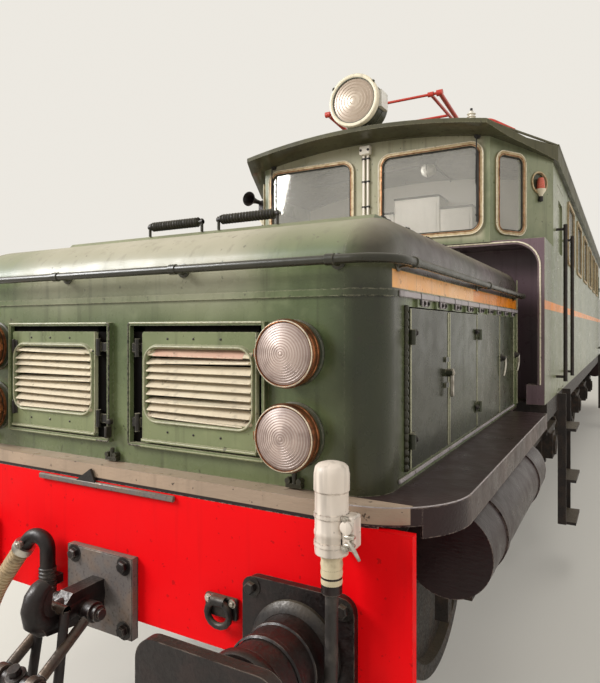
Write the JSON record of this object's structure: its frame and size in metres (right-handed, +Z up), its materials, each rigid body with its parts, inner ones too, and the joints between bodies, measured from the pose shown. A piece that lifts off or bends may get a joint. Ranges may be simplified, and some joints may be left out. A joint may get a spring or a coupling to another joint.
{
  "type": "electric locomotive",
  "caption": "Hood-ended electric locomotive with a long body between two powered bogies, hood doors, cab doors and folded pantographs.",
  "frame": {"origin": "halfway along the locomotive, on its centre line, at the lowest point of the wheel flanges", "axes": "+X forward along the track to end A, +Y to the left of end A, +Z up"},
  "size_m": [18.3, 3.2, 4.5083],
  "materials": {
    "lamp_metal": "dark enamel drum with a cream rim and a glass front",
    "bogie_iron": "oily dark cast steel",
    "beam_red": "bright red gloss enamel",
    "green_enamel": "worn olive green gloss enamel",
    "roof_enamel": "olive green enamel, dusty",
    "cab_cream": "pale cab paint",
    "deck_iron": "dark brown-black paint, edges worn",
    "buffer_iron": "greasy black iron",
    "fittings_metal": "dark tube, copper lamp rims and glass lenses",
    "hose_rubber": "cable, sleeve and brake hose",
    "panto_red": "red enamel tube",
    "panto_base": "red frame on brown glazed insulators",
    "motor_iron": "dark motor case",
    "wheel_steel": "dark wheel with a bright tread",
    "frame_brass": "golden window frame",
    "window_glass": "clear glass"
  },
  "bodies": {
    "superstructure": {"underframe": "deck_iron", "cab_a": "green_enamel", "cab_b": "green_enamel", "side_walls": "green_enamel", "roof": "roof_enamel", "window_glass": "window_glass", "window_frames": "frame_brass", "cab_interior": "cab_cream", "body_lamps": "lamp_metal", "steps_and_rails": "deck_iron", "pantograph_bases": "panto_base"},
    "bogie_a": {"bogie_frame_a": "bogie_iron", "buffer_beam_a": "beam_red", "traction_motors_a": "motor_iron", "running_gear_a": "bogie_iron", "deck_a": "deck_iron", "hood_a": "green_enamel", "louvres_a": "green_enamel", "hood_fittings_a": "fittings_metal", "draw_gear_a": "buffer_iron", "hoses_a": "hose_rubber"},
    "wheelset_1_a": {"wheelset_1_a": "wheel_steel"},
    "wheelset_2_a": {"wheelset_2_a": "wheel_steel"},
    "wheelset_3_a": {"wheelset_3_a": "wheel_steel"},
    "hood_door_left_front_a": {"hood_door_left_front_a": "green_enamel"},
    "hood_door_left_rear_a": {"hood_door_left_rear_a": "green_enamel"},
    "cab_door_left_a": {"cab_door_left_a": "green_enamel"},
    "hood_door_right_front_a": {"hood_door_right_front_a": "green_enamel"},
    "hood_door_right_rear_a": {"hood_door_right_rear_a": "green_enamel"},
    "cab_door_right_a": {"cab_door_right_a": "green_enamel"},
    "panto_lower_fore_a": {"panto_lower_fore_a": "panto_red"},
    "panto_lower_aft_a": {"panto_lower_aft_a": "panto_red"},
    "panto_upper_fore_a": {"panto_upper_fore_a": "panto_red"},
    "panto_upper_aft_a": {"panto_upper_aft_a": "panto_red"},
    "panto_head_a": {"panto_head_a": "panto_red"},
    "bogie_b": {"bogie_frame_b": "bogie_iron", "buffer_beam_b": "beam_red", "traction_motors_b": "motor_iron", "running_gear_b": "bogie_iron", "deck_b": "deck_iron", "hood_b": "green_enamel", "louvres_b": "green_enamel", "hood_fittings_b": "fittings_metal", "draw_gear_b": "buffer_iron", "hoses_b": "hose_rubber"},
    "wheelset_1_b": {"wheelset_1_b": "wheel_steel"},
    "wheelset_2_b": {"wheelset_2_b": "wheel_steel"},
    "wheelset_3_b": {"wheelset_3_b": "wheel_steel"},
    "hood_door_left_front_b": {"hood_door_left_front_b": "green_enamel"},
    "hood_door_left_rear_b": {"hood_door_left_rear_b": "green_enamel"},
    "cab_door_left_b": {"cab_door_left_b": "green_enamel"},
    "hood_door_right_front_b": {"hood_door_right_front_b": "green_enamel"},
    "hood_door_right_rear_b": {"hood_door_right_rear_b": "green_enamel"},
    "cab_door_right_b": {"cab_door_right_b": "green_enamel"},
    "panto_lower_fore_b": {"panto_lower_fore_b": "panto_red"},
    "panto_lower_aft_b": {"panto_lower_aft_b": "panto_red"},
    "panto_upper_fore_b": {"panto_upper_fore_b": "panto_red"},
    "panto_upper_aft_b": {"panto_upper_aft_b": "panto_red"},
    "panto_head_b": {"panto_head_b": "panto_red"}
  },
  "joints": [
    {"name": "bogie_yaw_a", "type": "hinge", "parent": "superstructure", "child": "bogie_a", "pos_m": [4.5, 0, 1.348], "axis": [0, 0, 1], "range_deg": [-3, 3]},
    {"name": "axle_1_a", "type": "hinge", "parent": "bogie_a", "child": "wheelset_1_a", "pos_m": [6.7, 0, 0.728], "axis": [0, 1, 0], "continuous": true},
    {"name": "axle_2_a", "type": "hinge", "parent": "bogie_a", "child": "wheelset_2_a", "pos_m": [4.5, 0, 0.728], "axis": [0, 1, 0], "continuous": true},
    {"name": "axle_3_a", "type": "hinge", "parent": "bogie_a", "child": "wheelset_3_a", "pos_m": [2.3, 0, 0.728], "axis": [0, 1, 0], "continuous": true},
    {"name": "hood_door_left_front_a_hinge", "type": "hinge", "parent": "bogie_a", "child": "hood_door_left_front_a", "pos_m": [8.212, 1.263, 1.95], "axis": [0, 0, -1], "range_deg": [0, 110]},
    {"name": "hood_door_left_rear_a_hinge", "type": "hinge", "parent": "bogie_a", "child": "hood_door_left_rear_a", "pos_m": [7.013, 1.263, 1.95], "axis": [0, 0, 1], "range_deg": [0, 110]},
    {"name": "cab_door_left_a_hinge", "type": "hinge", "parent": "superstructure", "child": "cab_door_left_a", "pos_m": [4.122, 1.3877, 2.5], "axis": [0, 0, -1], "range_deg": [0, 85]},
    {"name": "hood_door_right_front_a_hinge", "type": "hinge", "parent": "bogie_a", "child": "hood_door_right_front_a", "pos_m": [8.212, -1.263, 1.95], "axis": [0, 0, 1], "range_deg": [0, 110]},
    {"name": "hood_door_right_rear_a_hinge", "type": "hinge", "parent": "bogie_a", "child": "hood_door_right_rear_a", "pos_m": [7.013, -1.263, 1.95], "axis": [0, 0, -1], "range_deg": [0, 110]},
    {"name": "cab_door_right_a_hinge", "type": "hinge", "parent": "superstructure", "child": "cab_door_right_a", "pos_m": [4.122, -1.3877, 2.5], "axis": [0, 0, 1], "range_deg": [0, 85]},
    {"name": "panto_raise_a", "type": "hinge", "parent": "superstructure", "child": "panto_lower_fore_a", "pos_m": [3.85, 0, 4.198], "axis": [0, -1, 0], "range_deg": [0, 38]},
    {"name": "panto_knuckle_fore_a", "type": "hinge", "parent": "panto_lower_fore_a", "child": "panto_upper_fore_a", "pos_m": [5.29647, 0, 4.29915], "axis": [0, -1, 0], "range_deg": [-76.5, 0.5]},
    {"name": "panto_head_a_pivot", "type": "hinge", "parent": "panto_upper_fore_a", "child": "panto_head_a", "pos_m": [3.85, 0, 4.40029], "axis": [0, -1, 0], "range_deg": [-0.5, 38.5]},
    {"name": "panto_aft_a", "type": "hinge", "parent": "superstructure", "child": "panto_lower_aft_a", "pos_m": [3.35, 0, 4.198], "axis": [0, 1, 0], "range_deg": [-0.5, 38.5]},
    {"name": "panto_knuckle_aft_a", "type": "hinge", "parent": "panto_lower_aft_a", "child": "panto_upper_aft_a", "pos_m": [1.90353, 0, 4.29915], "axis": [0, 1, 0], "range_deg": [-76.5, 0.5]},
    {"name": "bogie_yaw_b", "type": "hinge", "parent": "superstructure", "child": "bogie_b", "pos_m": [-4.5, 0, 1.348], "axis": [0, 0, 1], "range_deg": [-3, 3]},
    {"name": "axle_1_b", "type": "hinge", "parent": "bogie_b", "child": "wheelset_1_b", "pos_m": [-6.7, 0, 0.728], "axis": [0, 1, 0], "continuous": true},
    {"name": "axle_2_b", "type": "hinge", "parent": "bogie_b", "child": "wheelset_2_b", "pos_m": [-4.5, 0, 0.728], "axis": [0, 1, 0], "continuous": true},
    {"name": "axle_3_b", "type": "hinge", "parent": "bogie_b", "child": "wheelset_3_b", "pos_m": [-2.3, 0, 0.728], "axis": [0, 1, 0], "continuous": true},
    {"name": "hood_door_left_front_b_hinge", "type": "hinge", "parent": "bogie_b", "child": "hood_door_left_front_b", "pos_m": [-8.212, -1.263, 1.95], "axis": [0, 0, -1], "range_deg": [0, 110]},
    {"name": "hood_door_left_rear_b_hinge", "type": "hinge", "parent": "bogie_b", "child": "hood_door_left_rear_b", "pos_m": [-7.013, -1.263, 1.95], "axis": [0, 0, 1], "range_deg": [0, 110]},
    {"name": "cab_door_left_b_hinge", "type": "hinge", "parent": "superstructure", "child": "cab_door_left_b", "pos_m": [-4.122, -1.3877, 2.5], "axis": [0, 0, -1], "range_deg": [0, 85]},
    {"name": "hood_door_right_front_b_hinge", "type": "hinge", "parent": "bogie_b", "child": "hood_door_right_front_b", "pos_m": [-8.212, 1.263, 1.95], "axis": [0, 0, 1], "range_deg": [0, 110]},
    {"name": "hood_door_right_rear_b_hinge", "type": "hinge", "parent": "bogie_b", "child": "hood_door_right_rear_b", "pos_m": [-7.013, 1.263, 1.95], "axis": [0, 0, -1], "range_deg": [0, 110]},
    {"name": "cab_door_right_b_hinge", "type": "hinge", "parent": "superstructure", "child": "cab_door_right_b", "pos_m": [-4.122, 1.3877, 2.5], "axis": [0, 0, 1], "range_deg": [0, 85]},
    {"name": "panto_raise_b", "type": "hinge", "parent": "superstructure", "child": "panto_lower_fore_b", "pos_m": [-3.85, 0, 4.198], "axis": [0, 1, 0], "range_deg": [0, 38]},
    {"name": "panto_knuckle_fore_b", "type": "hinge", "parent": "panto_lower_fore_b", "child": "panto_upper_fore_b", "pos_m": [-5.29647, 0, 4.29915], "axis": [0, 1, 0], "range_deg": [-76.5, 0.5]},
    {"name": "panto_head_b_pivot", "type": "hinge", "parent": "panto_upper_fore_b", "child": "panto_head_b", "pos_m": [-3.85, 0, 4.40029], "axis": [0, 1, 0], "range_deg": [-0.5, 38.5]},
    {"name": "panto_aft_b", "type": "hinge", "parent": "superstructure", "child": "panto_lower_aft_b", "pos_m": [-3.35, 0, 4.198], "axis": [0, -1, 0], "range_deg": [-0.5, 38.5]},
    {"name": "panto_knuckle_aft_b", "type": "hinge", "parent": "panto_lower_aft_b", "child": "panto_upper_aft_b", "pos_m": [-1.90353, 0, 4.29915], "axis": [0, -1, 0], "range_deg": [-76.5, 0.5]}
  ],
  "couplings": [
    {"joint": "panto_knuckle_fore_a", "follows": "panto_raise_a", "ratio": -2},
    {"joint": "panto_head_a_pivot", "follows": "panto_raise_a", "ratio": 1},
    {"joint": "panto_aft_a", "follows": "panto_raise_a", "ratio": 1},
    {"joint": "panto_knuckle_aft_a", "follows": "panto_raise_a", "ratio": -2},
    {"joint": "panto_knuckle_fore_b", "follows": "panto_raise_b", "ratio": -2},
    {"joint": "panto_head_b_pivot", "follows": "panto_raise_b", "ratio": 1},
    {"joint": "panto_aft_b", "follows": "panto_raise_b", "ratio": 1},
    {"joint": "panto_knuckle_aft_b", "follows": "panto_raise_b", "ratio": -2}
  ]
}
